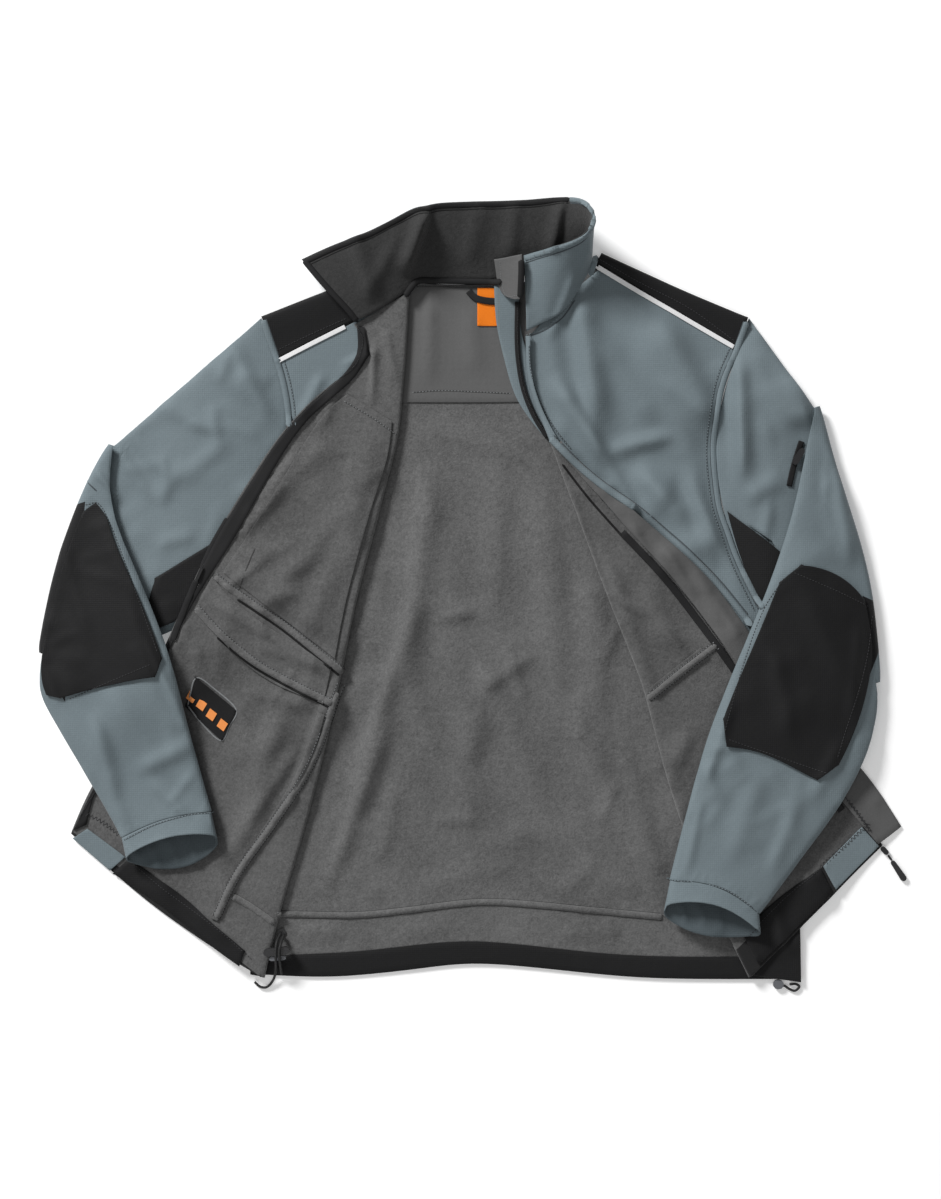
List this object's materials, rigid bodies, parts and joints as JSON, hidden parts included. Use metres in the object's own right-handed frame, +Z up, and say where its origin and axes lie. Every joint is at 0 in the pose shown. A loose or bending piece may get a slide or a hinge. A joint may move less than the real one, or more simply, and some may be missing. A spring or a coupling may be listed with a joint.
{
  "type": "softshell jacket laid open",
  "caption": "Long-sleeved bonded softshell work jacket lying open on its back, fronts turned back, sleeves folded over, stand collar, zip, drawcord hem.",
  "frame": {"origin": "centre of the bounding box's base, on the surface that the jacket lies on, measured without the hem drawcords", "axes": "+Z up from the surface, +Y from the hem towards the collar, +X towards the wearer's left sleeve"},
  "size_m": [0.8874, 0.8098, 0.0705],
  "materials": {
    "shell": "blue-grey bonded softshell, fine smooth weave",
    "black_shell": "black bonded softshell, fine smooth weave",
    "fleece": "dark grey bonded fleece, short nap",
    "lining": "smooth grey woven lining",
    "collar_lining": "charcoal brushed knit",
    "orange_tag": "plain orange woven tag",
    "black_tape": "black woven tape",
    "piping": "white reflective piping",
    "hard_plastic": "black moulded plastic",
    "grey_plastic": "grey moulded plastic",
    "soft_rubber": "black soft rubber",
    "cord": "black elastic round cord"
  },
  "bodies": {
    "jacket": {"back_panel": "fleece", "back_neck_lining": "lining", "back_hem_facing": "black_shell", "neck_label": "orange_tag", "hanger_loop": "black_tape", "placket_upper": "lining", "right_gusset": "black_shell", "left_gusset": "black_shell", "right_front": "fleece", "left_front": "fleece", "right_yoke": "black_shell", "left_yoke": "black_shell", "right_piping": "piping", "left_piping": "piping", "zip_upper": "black_tape", "right_zip_tape": "black_tape", "chest_pocket": "fleece", "lower_pocket": "fleece", "inside_patch": "black_tape", "side_seam_binding": "fleece", "right_hem_facing": "black_shell", "right_front_facing": "shell", "left_zip_tape": "black_tape", "placket_lower": "lining", "left_pocket_welt": "fleece", "left_hem_facing": "black_shell", "left_front_facing": "shell", "arm_pocket_zip": "black_tape", "collar_inner": "collar_lining", "collar_outer": "shell", "chin_guard": "lining", "right_sleeve": "shell", "right_cuff": "shell", "left_sleeve": "shell", "left_cuff": "shell", "right_elbow_panel": "black_shell", "left_elbow_panel": "black_shell", "zip_slider": "hard_plastic", "arm_pocket_slider": "hard_plastic", "cord_eyelet": "hard_plastic", "cord_lock": "hard_plastic", "cord_lock_grip": "grey_plastic", "drawcord_right": "cord", "drawcord_right_end": "cord", "cord_stop": "grey_plastic", "drawcord_left": "cord"},
    "zip_pull": {"pull_link": "hard_plastic", "pull_tab": "soft_rubber"}
  },
  "joints": [
    {"name": "zip_pull_lift", "type": "hinge", "parent": "jacket", "child": "zip_pull", "pos_m": [0.4251, -0.2706, 0.0024], "axis": [-0.8321, -0.5547, 0], "range_deg": [0, 110]}
  ]
}
